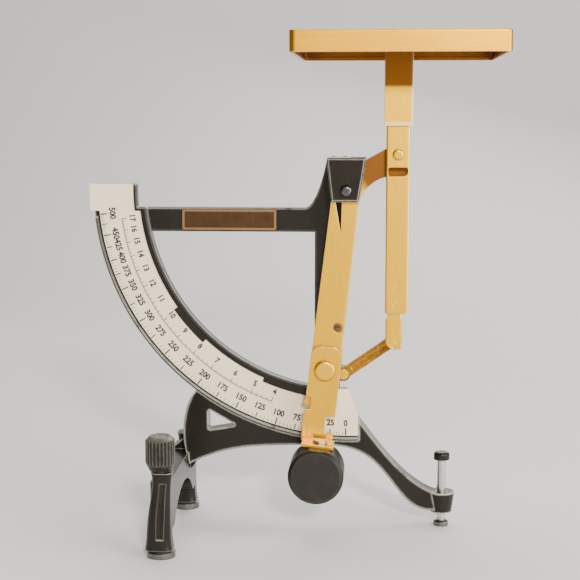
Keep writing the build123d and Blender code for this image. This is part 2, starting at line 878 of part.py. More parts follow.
# Platform: a square tray, open below, on a socket that slips over the rod
def platform_tray():
    outline = RectangleRounded(platform_width, platform_width, platform_corner)
    tray = extrude(Pos(rod_x, 0, platform_top - platform_lip) * outline, amount=platform_lip)
    top = tray.faces().sort_by(Axis.Z)[-1].edges()
    tray = fillet(top, platform_edge)
    inside = platform_width - 2 * platform_sheet
    hollow = RectangleRounded(inside, inside, platform_corner - platform_sheet)
    tray -= extrude(
        Pos(rod_x, 0, platform_top - platform_lip + platform_hem) * hollow,
        amount=platform_lip - platform_hem - platform_sheet)
    opening = inside - 2 * platform_sheet
    mouth = RectangleRounded(opening, opening, platform_corner - platform_sheet)
    tray -= extrude(Pos(rod_x, 0, platform_top - platform_lip) * mouth, amount=platform_hem)
    for x, y in socket_rivet_places():
        tray -= post(x, y, socket_rivet_radius, platform_top - platform_sheet, platform_top)
    return tray


def socket_rivet_places():
    across = socket_flange_width / 2 - 3 * socket_rivet_radius
    deep = socket_flange_depth / 2 - 3 * socket_rivet_radius
    return [(rod_x + i * across, j * deep) for i in (-1, 1) for j in (-1, 1)]


def platform_socket():
    ceiling = platform_top - platform_sheet
    bore_width = rod_width + 2 * sliding_clearance
    bore_depth = rod_depth + 2 * sliding_clearance
    shell = Rectangle(bore_width + 2 * socket_wall, bore_depth + 2 * socket_wall)
    socket = extrude(Pos(rod_x, 0, socket_bottom) * shell, amount=ceiling - socket_bottom)
    socket -= extrude(
        Pos(rod_x, 0, socket_bottom) * Rectangle(bore_width, bore_depth),
        amount=ceiling - socket_cap - socket_bottom)
    flange = RectangleRounded(socket_flange_width, socket_flange_depth, 3)
    socket += extrude(Pos(rod_x, 0, ceiling - socket_cap) * flange, amount=socket_cap)
    for x, y in socket_rivet_places():
        socket -= post(x, y, socket_rivet_radius, ceiling - socket_cap, ceiling)
    return socket


def socket_rivets():
    rivets = []
    bottom = platform_top - platform_sheet - socket_cap
    for x, y in socket_rivet_places():
        rivet = post(x, y, socket_rivet_radius, bottom, platform_top)
        rivets.append(rivet + post(x, y, socket_rivet_head_radius, bottom - socket_rivet_head, bottom))
    return rivets


# Stand: a saddle behind the quadrant, a strut down to the left feet and a leg to the right foot
def stand_outline():
    belly = rim_bottom - belly_drop - pivot_height
    corner = (-left_foot_reach + boss_radius - strut_corner_inset, strut_corner_height - pivot_height)
    strut_top = polar(rim_outer + strut_bulge, saddle_left_angle)
    saddle_left = polar(saddle_inner, saddle_left_angle)
    saddle_right = (rim_right_end, -math.sqrt(saddle_inner ** 2 - rim_right_end ** 2))
    leg_top = boss_top - leg_margin_top - pivot_height
    leg_bottom = boss_bottom + leg_margin_bottom - pivot_height
    reach = right_foot_reach
    saddle = ThreePointArc(saddle_left, polar(saddle_inner, saddle_left_angle / 2), saddle_right)
    leg_start = (rim_right_end, leg_start_height - pivot_height)
    drop = Line(saddle @ 1, leg_start)
    upper = Bezier(
        leg_start,
        (reach * leg_fall[0], leg_start[1] + leg_fall[1]),
        (reach * leg_flare[0], leg_top + leg_flare[1]),
        (reach, leg_top))
    tip = Line(upper @ 1, (reach, leg_bottom))
    instep = [(reach * share, belly + rise) for share, rise in leg_instep]
    underside = Spline(
        tip @ 1,
        (reach * leg_toe[0], leg_bottom + leg_toe[1]),
        *instep,
        (corner[0] + strut_instep[0], corner[1] + strut_instep[1]),
        corner)
    outer = Bezier(
        corner,
        (corner[0] + strut_bow_low[0], corner[1] + strut_bow_low[1]),
        (corner[0] + strut_bow_high[0], corner[1] + strut_bow_high[1]),
        strut_top)
    return make_face([saddle, drop, upper, tip, underside, outer, Line(outer @ 1, saddle @ 0)])


def stand_window():
    floor = window_floor - pivot_height
    corner = Polygon(
        (window_left, floor),
        (window_left + window_reach, floor + window_reach * window_slope),
        (window_left, floor + window_reach),
        align=None)
    opening = corner - Circle(rim_outer + window_wall)
    return offset(offset(opening, -window_corner), window_corner)


def stand():
    outline = stand_outline() - stand_window() - right_corner(corner_margin)
    body = slab(from_pivot(outline), frame_front, stand_back)
    curved = front_edges(body).filter_by(lambda edge: edge.geom_type in (GeomType.BEZIER, GeomType.BSPLINE))
    body = chamfer(curved, frame_bevel)
    seat = quadrant_outline(rim_inner, rim_outer + casting_clearance, rim_right_end + casting_clearance)
    body -= slab(from_pivot(seat), frame_front, frame_back)
    over_crossbar = box_between(
        left_foot_x - yoke_width,
        left_foot_x + yoke_width / 2 + casting_clearance,
        0,
        yoke_top + casting_clearance)
    body -= slab(over_crossbar, frame_front, stand_back)
    boss = post(right_foot_x, right_foot_y, boss_radius, boss_bottom, boss_top)
    body += chamfer(boss.edges().group_by(Axis.Z)[0], boss_top - boss_bottom - boss_taper, boss_taper)
    body -= post(right_foot_x, right_foot_y, right_stem_radius + sliding_clearance, boss_bottom, boss_top)
    for angle in stand_screw_angles:
        body -= slab(saddle_circle(angle, stand_screw_radius), frame_back, stand_back)
    for x, z in yoke_screw_places():
        body -= pin(x, z, yoke_screw_radius, frame_front + 2, stand_back)
    return body


def stand_screws():
    screws = []
    for angle in stand_screw_angles:
        shank = slab(saddle_circle(angle, stand_screw_radius), frame_back - stand_screw_bite, stand_back)
        head_back = stand_back + stand_screw_head
        head = slab(saddle_circle(angle, stand_screw_head_radius), stand_back, head_back)
        x, z = polar((saddle_inner + rim_outer) / 2, angle)
        screws.append(
            shank + slotted(head, pivot_x + x, pivot_height + z, stand_screw_head_radius, head_back))
    return screws


# Left foot yoke: two columns under an arched crossbar, with a strap up behind the strut
def yoke_screw_places():
    x = left_foot_x + strap_right - 5
    return [(x, strap_top - drop) for drop in yoke_screw_drops]


def column_sections():
    """Height, width and sideways shift of the leg, from its foot up."""
    return [
        (column_bottom, column_foot_width, column_foot_shift),
        (column_bottom + column_ankle_rise, column_foot_width - column_collar, column_foot_shift),
        (column_bottom + column_waist_rise, column_waist_width, column_waist_shift),
        (column_top - column_neck_drop, column_neck_width - column_collar, column_neck_shift),
        (column_top, column_neck_width, column_neck_shift),
    ]


def column(y):
    """A slim bowed leg that swells at its foot."""
    faces = [
        Pos(left_foot_x + shift, y, z) * RectangleRounded(width, width, width * column_rounding)
        for z, width, shift in column_sections()]
    return loft(Sketch() + faces)


def leg_groove():
    """The groove down the front of the front leg, which follows its bow."""
    sections = column_sections()[1:4]
    heights = (groove_bottom, column_bottom + column_waist_rise, groove_top)
    rounds = []
    for height, (_, width, shift) in zip(heights, sections):
        middle = -foot_y - width / 2 + groove_depth - groove_radius
        rounds.append(Pos(left_foot_x + shift + groove_shift, middle, height) * Circle(groove_radius))
    return loft(Sketch() + rounds)


def crossbar():
    half = foot_y
    profile = Plane.YZ * (
        Pos(0, yoke_top / 2) * Rectangle(2 * half, yoke_top)
        - Pos(0, 0) * Ellipse(half - column_waist_width / 2, yoke_arch_height))
    bar = extrude(profile, amount=yoke_width / 2, both=True)
    below = Pos(0, 0, yoke_arch_height / 4) * Box(2 * yoke_width, 4 * half, yoke_arch_height / 2)
    return Pos(left_foot_x, 0, 0) * (bar - below)


def strap():
    left = -yoke_width / 2
    outline = Polygon(
        (left, yoke_top - strap_root),
        (strap_right - strap_slant, yoke_top - strap_root),
        (strap_right, yoke_top + strap_elbow),
        (strap_right, strap_top),
        (strap_right - strap_top_width, strap_top),
        (strap_right - strap_neck_width, yoke_top + strap_neck),
        (left, yoke_top),
        align=None)
    return slab(Pos(left_foot_x, 0) * outline, stand_back, strap_back)


def left_foot_yoke():
    yoke = column(-foot_y) - leg_groove()
    yoke += column(foot_y)
    yoke += crossbar()
    yoke += strap()
    reach = column_foot_width
    yoke -= post(left_foot_x, -foot_y, front_stem_radius + sliding_clearance, 0, column_top)
    yoke -= post(left_foot_x, foot_y, front_stem_radius, 0, column_bottom + reach / 2)
    for x, z in yoke_screw_places():
        yoke -= pin(x, z, yoke_screw_radius, stand_back, strap_back)
    return yoke


def yoke_screws():
    screws = []
    for x, z in yoke_screw_places():
        shank = pin(x, z, yoke_screw_radius, frame_front + 2, strap_back)
        head_back = strap_back + stand_screw_head
        head = pin(x, z, stand_screw_head_radius, strap_back, head_back)
        screws.append(shank + slotted(head, x, z, stand_screw_head_radius, head_back))
    return screws


def foot_pad(x, y, radius, height):
    pad = post(x, y, radius, 0, height)
    return chamfer(pad.edges().group_by(Axis.Z)[-1], height * foot_pad_bevel_share)


def rear_foot_pad():
    pad = foot_pad(left_foot_x, foot_y, foot_pad_radius, column_bottom)
    stem_top = column_bottom + column_foot_width / 2
    return pad + post(left_foot_x, foot_y, front_stem_radius, column_bottom, stem_top)


# Levelling screws: a tall fluted knob at the front left, a slender capped screw at the right
def levelling_knob():
    outline = Circle(knob_radius)
    for i in range(knob_flutes):
        turn = 2 * math.pi * i / knob_flutes
        outline -= Pos(knob_radius * math.cos(turn), knob_radius * math.sin(turn)) * Circle(flute_radius)
    crown_radius = knob_radius - knob_bevel_width
    profile = Polygon(
        (0, 0),
        (knob_waist_radius, 0),
        (knob_radius, knob_waist_height),
        (knob_radius, knob_height - knob_bevel_height),
        (crown_radius, knob_height),
        (crown_radius - knob_dish_depth, knob_height),
        (crown_radius - 2 * knob_dish_depth, knob_height - knob_dish_depth),
        (0, knob_height - knob_dish_depth),
        align=None)
    grip = extrude(outline, amount=knob_height) & revolve(Plane.XZ * profile, Axis.Z)
    knob = Pos(left_foot_x, -foot_y, knob_bottom) * grip
    stem_top = knob_bottom + knob_height / 2
    return knob - post(left_foot_x, -foot_y, front_stem_radius, knob_bottom, stem_top)


def levelling_stem():
    return post(left_foot_x, -foot_y, front_stem_radius, foot_pad_height / 2, knob_bottom + knob_height / 2)


def front_foot_pad():
    pad = foot_pad(left_foot_x, -foot_y, foot_pad_radius, foot_pad_height)
    return pad - post(left_foot_x, -foot_y, front_stem_radius, foot_pad_height / 2, foot_pad_height)


def right_levelling_screw():
    top = right_cap_top - right_cap_height / 2
    return post(right_foot_x, right_foot_y, right_stem_radius, right_pad_height / 2, top)


def right_screw_cap():
    bottom = right_cap_top - right_cap_height
    cap = post(right_foot_x, right_foot_y, right_cap_radius, bottom, right_cap_top)
    cap = fillet(cap.edges().group_by(Axis.Z)[-1], right_cap_rounding)
    stem_top = right_cap_top - right_cap_height / 2
    return cap - post(right_foot_x, right_foot_y, right_stem_radius, bottom, stem_top)


def right_foot_pad():
    pad = foot_pad(right_foot_x, right_foot_y, right_pad_radius, right_pad_height)
    return pad - post(right_foot_x, right_foot_y, right_stem_radius, right_pad_height / 2, right_pad_height)


pieces = {
    "quadrant_frame": quadrant_frame,
    "dial_plate": dial_plate,
    "dial_studs": dial_studs,
    "name_plate": name_plate,
    "name_plate_studs": name_plate_studs,
    "bearing_cover": bearing_cover,
    "cover_screws": cover_screws,
    "front_pivot_screw": front_pivot_screw,
    "rear_pivot_screw": rear_pivot_screw,
    "pivot_locknut": pivot_locknut,
    "link_pivot_pin": link_pivot_pin,
    "stand": stand,
    "stand_screws": stand_screws,
    "left_foot_yoke": left_foot_yoke,
    "yoke_screws": yoke_screws,
    "rear_foot_pad": rear_foot_pad,
    "pendulum_lever": pendulum_lever,
    "pivot_axle": pivot_axle,
    "load_pin": load_pin,
    "trim_screw": trim_screw,
    "flip_screw": flip_screw,
    "flip_nut": flip_nut,
    "friction_washer": friction_washer,
    "weight_arm": weight_arm,
    "weight_bob": weight_bob,
    "bob_screw": bob_screw,
    "load_rod": load_rod,
    "rod_tail": rod_tail,
    "tail_rivets": tail_rivets,
    "tail_pin": tail_pin,
    "tail_clip": tail_clip,
    "lower_link": lower_link,
    "platform_tray": platform_tray,
    "platform_socket": platform_socket,
    "socket_rivets": socket_rivets,
    "levelling_knob": levelling_knob,
    "levelling_stem": levelling_stem,
    "front_foot_pad": front_foot_pad,
    "right_levelling_screw": right_levelling_screw,
    "right_screw_cap": right_screw_cap,
    "right_foot_pad": right_foot_pad,
}

os.makedirs("parts", exist_ok=True)
for name, make in pieces.items():
    made = make()
    if isinstance(made, list):
        made = Compound(children=made)
    export_step(made, f"parts/{name}.step")
    print(name, round(made.volume, 1))
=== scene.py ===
import math

import bmesh
import bpy
from mathutils import Matrix, Vector


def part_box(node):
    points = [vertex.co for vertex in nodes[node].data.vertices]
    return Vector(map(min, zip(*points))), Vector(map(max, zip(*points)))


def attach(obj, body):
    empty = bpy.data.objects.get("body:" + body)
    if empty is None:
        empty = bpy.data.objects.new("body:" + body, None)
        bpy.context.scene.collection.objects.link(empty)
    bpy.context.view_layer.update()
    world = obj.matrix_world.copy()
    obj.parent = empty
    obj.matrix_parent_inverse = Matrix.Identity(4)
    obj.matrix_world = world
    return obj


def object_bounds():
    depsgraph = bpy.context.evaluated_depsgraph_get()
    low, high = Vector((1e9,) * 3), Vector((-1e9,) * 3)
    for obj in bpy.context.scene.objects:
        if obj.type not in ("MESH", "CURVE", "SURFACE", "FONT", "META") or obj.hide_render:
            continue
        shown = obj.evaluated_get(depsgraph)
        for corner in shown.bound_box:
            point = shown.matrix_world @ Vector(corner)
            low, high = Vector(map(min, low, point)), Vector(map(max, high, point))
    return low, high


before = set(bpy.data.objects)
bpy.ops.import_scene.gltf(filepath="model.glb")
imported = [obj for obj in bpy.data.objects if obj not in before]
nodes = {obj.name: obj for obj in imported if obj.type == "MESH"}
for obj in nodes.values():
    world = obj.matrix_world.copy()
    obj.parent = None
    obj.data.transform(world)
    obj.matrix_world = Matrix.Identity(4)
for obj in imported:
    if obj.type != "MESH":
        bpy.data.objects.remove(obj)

cad_low, cad_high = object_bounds()

MM = 0.001
UP = Vector((0, 0, 1))
RIGHT = Vector((1, 0, 0))


def centre_of(name):
    low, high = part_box(name)
    return (low + high) / 2


# Places, read from the frame or repeated from the part's driving sizes, in metres
PIVOT = centre_of("front_pivot_screw")
DIAL_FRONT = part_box("dial_plate")[0].y
CRANK_REACH = 22.8 * MM
CRANK_RISE = 16.0 * MM
CRANK_ANGLE = math.atan2(CRANK_RISE, CRANK_REACH)
LEVER_TILT = math.radians(6.5)
FULL_SWING = math.radians(84)

# Loads, in grams
FULL_LOAD = 500
CROWDED_LOAD = 475
GRAMS_PER_STEP = 5
OUNCE = 28.35


def polar(radius, angle):
    """A point on the dial's front; the angle is counted leftwards from straight down."""
    x = PIVOT.x - radius * math.sin(angle)
    z = PIVOT.z - radius * math.cos(angle)
    return Vector((x, DIAL_FRONT, z))


def pull(angle):
    """How the load grows with the swing of the lever, before it is scaled to grams."""
    return math.sin(angle) / math.cos(CRANK_ANGLE - angle)


def swing_for(load):
    """The swing at which a load in grams balances, found by halving the range again and again."""
    halvings = 40
    low, high = 0.0, FULL_SWING * 1.05
    wanted = load / FULL_LOAD * pull(FULL_SWING)
    for _ in range(halvings):
        middle = (low + high) / 2
        if pull(middle) < wanted:
            low = middle
        else:
            high = middle
    return low


# Materials
EDGE_SAMPLES = 6
MIX_SOCKETS = {"RGBA": (6, 7, 2), "FLOAT": (2, 3, 0)}


class Finish:
    """A procedural material, layered around one Principled shader."""

    def __init__(self, name, color, roughness, metallic=0.0):
        self.material = bpy.data.materials.new(name)
        self.material.use_nodes = True
        self.tree = self.material.node_tree
        self.shader = self.tree.nodes["Principled BSDF"]
        self.shader.inputs["Metallic"].default_value = metallic
        self.color = (*color, 1)
        self.roughness = roughness
        self.normal = None
        self.place = self.add("ShaderNodeTexCoord").outputs["Object"]

    def add(self, kind, **settings):
        node = self.tree.nodes.new(kind)
        for key, value in settings.items():
            setattr(node, key, value)
        return node

    def join(self, output, socket):
        self.tree.links.new(output, socket)

    def feed(self, value, socket):
        """Joins another node's output to a socket, or sets a plain value on it."""
        if isinstance(value, bpy.types.NodeSocket):
            self.join(value, socket)
        else:
            socket.default_value = value

    def stretched(self, stretch, turn):
        """The place in the object, scaled along its axes after a turn about y."""
        mapping = self.add("ShaderNodeMapping")
        mapping.inputs["Scale"].default_value = stretch
        mapping.inputs["Rotation"].default_value = (0, turn, 0)
        self.join(self.place, mapping.inputs["Vector"])
        return mapping.outputs["Vector"]

    def noise(self, scale, detail=3.0, stretch=(1, 1, 1), turn=0.0):
        noise = self.add("ShaderNodeTexNoise")
        noise.inputs["Scale"].default_value = scale
        noise.inputs["Detail"].default_value = detail
        self.join(self.stretched(stretch, turn), noise.inputs["Vector"])
        return noise.outputs["Fac"]

    def between(self, value, low, high, out_low=0.0, out_high=1.0):
        """A value spread from one range to another, and held at the new range's ends."""
        span = self.add("ShaderNodeMapRange")
        span.inputs["From Min"].default_value = low
        span.inputs["From Max"].default_value = high
        span.inputs["To Min"].default_value = out_low
        span.inputs["To Max"].default_value = out_high
        self.join(value, span.inputs["Value"])
        return span.outputs["Result"]

    def times(self, first, second):
        node = self.add("ShaderNodeMath", operation="MULTIPLY", use_clamp=True)
        self.join(first, node.inputs[0])
        self.join(second, node.inputs[1])
        return node.outputs[0]

    def along(self, output, direction):
        """How far a vector, given by a node or set by hand, goes along another."""
        product = self.add("ShaderNodeVectorMath", operation="DOT_PRODUCT")
        self.join(output, product.inputs[0])
        self.feed(direction, product.inputs[1])
        return product.outputs["Value"]

    def edges(self, radius, low=0.02, high=0.30, facing=None, elsewhere=0.45):
        """One where an edge turns, nought on flat ground; weaker where it doesn't face a given way."""
        bevel = self.add("ShaderNodeBevel", samples=EDGE_SAMPLES)
        bevel.inputs["Radius"].default_value = radius
        flat = self.add("ShaderNodeNewGeometry").outputs["Normal"]
        alike = self.along(bevel.outputs["Normal"], flat)
        turned = self.add("ShaderNodeMath", operation="SUBTRACT")
        turned.inputs[0].default_value = 1.0
        self.join(alike, turned.inputs[1])
        mask = self.between(turned.outputs[0], low, high)
        if facing is None:
            return mask
        local = self.add(
            "ShaderNodeVectorTransform", vector_type="NORMAL", convert_from="WORLD", convert_to="OBJECT")
        self.join(bevel.outputs["Normal"], local.inputs[0])
        towards = self.along(local.outputs[0], facing)
        return self.times(mask, self.between(towards, 0.05, 0.45, elsewhere, 1.0))

    def beyond(self, point, direction, reach):
        """Rises from nought to one past a place, over a given reach."""
        start = direction.dot(point)
        return self.between(self.along(self.place, direction), start, start + reach)

    def crevices(self, distance, low=0.35, high=0.85):
        """One deep in a corner, nought in the open."""
        shade = self.add("ShaderNodeAmbientOcclusion", samples=EDGE_SAMPLES)
        shade.inputs["Distance"].default_value = distance
        return self.between(shade.outputs["AO"], low, high, 1.0, 0.0)

    def blend(self, kind, mask, under, over):
        """One colour or number laid over another, where the mask says."""
        first, second, result = MIX_SOCKETS[kind]
        mix = self.add("ShaderNodeMix", data_type=kind)
        self.join(mask, mix.inputs["Factor"])
        self.feed(under, mix.inputs[first])
        mix.inputs[second].default_value = over
        return mix.outputs[result]

    def tint(self, mask, color, strength=1.0, roughness=None):
        """Lays a colour, and a roughness with it, over what is there, where the mask says."""
        if strength != 1.0:
            mask = self.between(mask, 0, 1, 0, strength)
        self.color = self.blend("RGBA", mask, self.color, (*color, 1))
        if roughness is not None:
            self.roughness = self.blend("FLOAT", mask, self.roughness, roughness)

    def bump(self, height, strength, distance):
        node = self.add("ShaderNodeBump")
        node.inputs["Strength"].default_value = strength
        node.inputs["Distance"].default_value = distance
        self.join(height, node.inputs["Height"])
        if self.normal is not None:
            self.join(self.normal, node.inputs["Normal"])
        self.normal = node.outputs["Normal"]

    def round_edges(self, radius):
        """Softens every edge in the light; called before any bump."""
        bevel = self.add("ShaderNodeBevel", samples=EDGE_SAMPLES)
        bevel.inputs["Radius"].default_value = radius
        self.normal = bevel.outputs["Normal"]

    def done(self):
        self.feed(self.color, self.shader.inputs["Base Color"])
        self.feed(self.roughness, self.shader.inputs["Roughness"])
        if self.normal is not None:
            self.join(self.normal, self.shader.inputs["Normal"])
        return self.material


# Black enamel
ENAMEL = (0.0085, 0.0075, 0.006)
ENAMEL_CLOUD = (0.016, 0.014, 0.011)
ENAMEL_DUST = (0.070, 0.065, 0.055)
# Painted highlight: the pale tint laid along the enamel's edges, where bevels would catch the light
ENAMEL_EDGE_HIGHLIGHT = (0.56, 0.56, 0.50)
# Painted highlight on the levelling knob's crown
CROWN_HIGHLIGHT = (0.36, 0.34, 0.30)
CROWN_DEPTH = 2.0 * MM
COVER = (0.009, 0.0075, 0.0055)
COVER_CLOUD = (0.018, 0.015, 0.012)
# Painted highlight on the cover's bevels
COVER_EDGE_HIGHLIGHT = (0.62, 0.62, 0.56)


def glaze(finish):
    """The thin warm gloss over the black enamel."""
    finish.shader.inputs["Specular IOR Level"].default_value = 0.24
    finish.shader.inputs["Specular Tint"].default_value = (1.0, 0.91, 0.84, 1)
    finish.shader.inputs["Coat Weight"].default_value = 0.04
    finish.shader.inputs["Coat Roughness"].default_value = 0.12


def polished_crown(finish):
    """The knob's crown, with a painted highlight broken into patches."""
    rim = Vector((0, 0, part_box("levelling_knob")[1].z - CROWN_DEPTH))
    crown = finish.beyond(rim, UP, CROWN_DEPTH / 2)
    patchy = finish.between(finish.noise(260, 3), 0.25, 0.75)
    finish.tint(finish.times(crown, patchy), CROWN_HIGHLIGHT, 0.6, 0.28)


def enamel(name, roughness=0.22, edge_light=0.9, reach=1.3 * MM, facing=None, elsewhere=0.45, extra=None):
    """Brushed-on enamel with faint clouds and dust, and a painted highlight along its edges, broken up by
    noise; weaker on edges that don't face a given way.
    """
    finish = Finish(name, ENAMEL, roughness)
    glaze(finish)
    finish.round_edges(0.5 * MM)
    finish.tint(finish.between(finish.noise(45, 4), 0.30, 0.80), ENAMEL_CLOUD, 0.8, roughness + 0.08)
    finish.tint(finish.between(finish.noise(900, 2), 0.62, 0.80), ENAMEL_DUST, 0.25)
    # Painted highlight along the edges, broken up by noise
    edge = finish.edges(reach, 0.008, 0.09, facing, elsewhere)
    glinting = finish.times(edge, finish.between(finish.noise(190, 4), 0.22, 0.45))
    finish.tint(glinting, ENAMEL_EDGE_HIGHLIGHT, edge_light, 0.30)
    if extra is not None:
        extra(finish)
    finish.bump(finish.noise(700, 3), 0.10, 0.2 * MM)
    return finish.done()


def cover_black():
    """The bearing cover's enamel, with a painted highlight on its bevels."""
    finish = Finish("cover_black", COVER, 0.24)
    glaze(finish)
    finish.round_edges(0.3 * MM)
    finish.tint(finish.between(finish.noise(120, 4), 0.40, 0.8), COVER_CLOUD, 0.7, 0.32)
    glinting = finish.times(finish.edges(1.0 * MM, 0.01, 0.12), finish.between(finish.noise(300, 3), 0.2, 0.45))
    finish.tint(glinting, COVER_EDGE_HIGHLIGHT, 0.9, 0.28)
    finish.bump(finish.noise(800, 2), 0.08, 0.1 * MM)
    return finish.done()


# Brass; a grain is given by how often it repeats along x, y and z
BRASS = (0.83, 0.45, 0.009)
# Painted shade: the lower link's brass, darkened to the shaded orange it takes behind the rod and lever
SHADED_LINK_BRASS = (0.19, 0.068, 0.008)
TRAY_GOLD = (0.68, 0.32, 0.003)
TURNED_BRASS = (0.90, 0.51, 0.030)
BRASS_CLOUD = (0.72, 0.34, 0.005)
BRASS_GRAIN = (0.93, 0.56, 0.03)
BRASS_SPECK = (0.34, 0.17, 0.05)
# Painted shade in the brass's corners and crevices
BRASS_CREVICE_SHADE = (0.24, 0.09, 0.03)
# Painted highlight along the brass's edges
BRASS_EDGE_HIGHLIGHT = (1.0, 0.82, 0.44)
# Painted highlight along the right sides of the rod, lever and socket
BRASS_SIDE_HIGHLIGHT = (1.0, 0.80, 0.50)
# Painted highlight at the socket's open end
BRASS_RIM_HIGHLIGHT = (1.0, 0.80, 0.46)
# Painted shade on the lever's crank
CRANK_SHADE = (0.165, 0.058, 0.016)
# Painted shade under the tray, on its underside and on the socket below it
TRAY_UNDERSIDE_SHADE = (0.15, 0.045, 0.025)
# Painted shadow of the tray on the socket's top
SOCKET_TRAY_SHADOW = (0.17, 0.045, 0.022)
GRAIN_UPRIGHT = (2600, 2600, 45)
GRAIN_SIDEWAYS = (45, 2600, 2600)
GRAIN_EVEN = (900, 900, 900)
GRAIN_TURNED = (1500, 300, 1500)

# Where the painted highlights and shades on the brass begin
ROD_SIDE = 2.6 * MM
LEVER_SIDE = 3.6 * MM
SOCKET_SIDE = 3.8 * MM
ELBOW = Vector((6.0, 0, 1.0)) * MM
SOCKET_SHADE_DROP = 13.5 * MM
SOCKET_RIM = 2.2 * MM


# The argument bright sets how strong the painted edge highlight is
def brass(name, color=BRASS, grain=GRAIN_UPRIGHT, turn=0.0, roughness=0.34, bright=0.6, extra=None):
    """Brushed brass with clouds and specks, painted shade in its crevices and a painted highlight along its
    edges.
    """
    finish = Finish(name, color, roughness, 1.0)
    finish.round_edges(0.4 * MM)
    finish.tint(finish.between(finish.noise(36, 5), 0.42, 0.82), BRASS_CLOUD, 0.45, roughness + 0.12)
    lines = finish.noise(1.0, 2, grain, turn)
    finish.tint(finish.between(lines, 0.42, 0.78), BRASS_GRAIN, 0.35)
    finish.tint(finish.between(finish.noise(620, 2), 0.67, 0.75), BRASS_SPECK, 0.45, 0.55)
    if extra is not None:
        extra(finish)
    # Painted shade in corners and crevices
    finish.tint(finish.crevices(2.0 * MM), BRASS_CREVICE_SHADE, 0.80, 0.5)
    # Painted highlight along the edges
    finish.tint(finish.edges(0.6 * MM, 0.01, 0.16), BRASS_EDGE_HIGHLIGHT, bright, 0.26)
    finish.bump(lines, 0.10, 0.1 * MM)
    return finish.done()


def pale_side(finish, point, direction):
    """A painted highlight: a pale strip along the outer edge that faces a given way, from a place outwards.
    """
    edge = finish.edges(2.2 * MM, 0.004, 0.10, direction, 0.0)
    strip = finish.times(edge, finish.beyond(point, direction, 0.5 * MM))
    finish.tint(strip, BRASS_SIDE_HIGHLIGHT, 0.9, 0.28)


def pale_upright(finish):
    """Painted highlight along the right side of the rod and its tail."""
    pale_side(finish, centre_of("load_rod") + RIGHT * ROD_SIDE, RIGHT)


def shaded_lever(finish):
    """Painted shade gives the crank a deeper, more orange tone than the long arm, and a painted highlight
    makes the arm's right edge pale.
    """
    across = Vector((math.cos(LEVER_TILT), 0, -math.sin(LEVER_TILT)))
    pale_side(finish, PIVOT + across * LEVER_SIDE, across)
    towards_pin = Vector((math.cos(CRANK_ANGLE), 0, math.sin(CRANK_ANGLE)))
    # Painted shade on the crank
    finish.tint(finish.beyond(PIVOT + ELBOW, towards_pin, 4 * MM), CRANK_SHADE, 0.95)


def shaded_hollow(finish):
    """Painted shade over the whole underside of the tray."""
    finish.tint(finish.crevices(60 * MM, 0.45, 0.92), TRAY_UNDERSIDE_SHADE, 0.94, 0.55)


def shaded_socket(finish):
    """Painted shadow of the tray across the socket's top, painted shade in its corners, and painted
    highlights along its right side and at the open end.
    """
    pale_side(finish, centre_of("platform_socket") + RIGHT * SOCKET_SIDE, RIGHT)
    shade_bottom = Vector((0, 0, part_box("platform_tray")[0].z - SOCKET_SHADE_DROP))
    # Painted shadow of the tray across the socket's top
    finish.tint(finish.beyond(shade_bottom, UP, 1.2 * MM), SOCKET_TRAY_SHADOW, 0.85, 0.5)
    # Painted shade under the tray, in the socket's corners
    finish.tint(finish.crevices(16 * MM, 0.30, 0.80), TRAY_UNDERSIDE_SHADE, 0.90, 0.55)
    rim_top = Vector((0, 0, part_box("platform_socket")[0].z + SOCKET_RIM))
    # Painted highlight at the socket's open end
    finish.tint(finish.beyond(rim_top, -UP, 0.7 * MM), BRASS_RIM_HIGHLIGHT, 0.65, 0.3)


# Dial, name plate, weight and steel
CREAM = (0.93, 0.80, 0.62)
CREAM_CLOUD = (0.84, 0.70, 0.51)
CREAM_SPECK = (0.42, 0.34, 0.23)
CREAM_EDGE = (0.46, 0.40, 0.30)
BLACK_INK = (0.016, 0.014, 0.012)
# Painted shadow: the divider's brown stands for the shadow along the inner band's edge
DIVIDER_SHADE_INK = (0.30, 0.21, 0.13)
BRONZE = (0.078, 0.043, 0.023)
BRONZE_CLOUD = (0.045, 0.026, 0.014)
BRONZE_RAISED = (0.34, 0.19, 0.085)
BOB = (0.013, 0.011, 0.009)
BOB_CLOUD = (0.026, 0.022, 0.018)
# Painted highlight along the bob's edges
BOB_EDGE_HIGHLIGHT = (0.34, 0.32, 0.27)
STEEL_BRIGHT = (0.66, 0.66, 0.63)
STEEL_DARK = (0.20, 0.20, 0.19)
STEEL_BRONZED = (0.16, 0.085, 0.030)
STEEL_PIVOT = (0.13, 0.12, 0.14)
STEEL_EDGE = (0.85, 0.84, 0.80)
BRONZED_EDGE = (0.55, 0.38, 0.18)
# Darkens the steel in its corners
STEEL_CORNER_DARK = (0.05, 0.045, 0.04)


def cream():
    """The dial's sheet, slightly yellowed, with specks and a handled edge."""
    finish = Finish("dial_cream", CREAM, 0.42)
    finish.round_edges(0.2 * MM)
    finish.tint(finish.between(finish.noise(70, 5), 0.45, 0.75), CREAM_CLOUD, 0.55)
    finish.tint(finish.between(finish.noise(1400, 2), 0.68, 0.78), CREAM_SPECK, 0.40)
    finish.tint(finish.edges(0.35 * MM), CREAM_EDGE, 0.55)
    finish.bump(finish.noise(900, 2), 0.05, 0.1 * MM)
    return finish.done()


def ink(name, color):
    """The dial's print, faded in places."""
    finish = Finish(name, color, 0.5)
    faded = tuple(0.75 * c + 0.10 for c in color)
    finish.tint(finish.between(finish.noise(1600, 3), 0.60, 0.82), faded, 0.6)
    return finish.done()


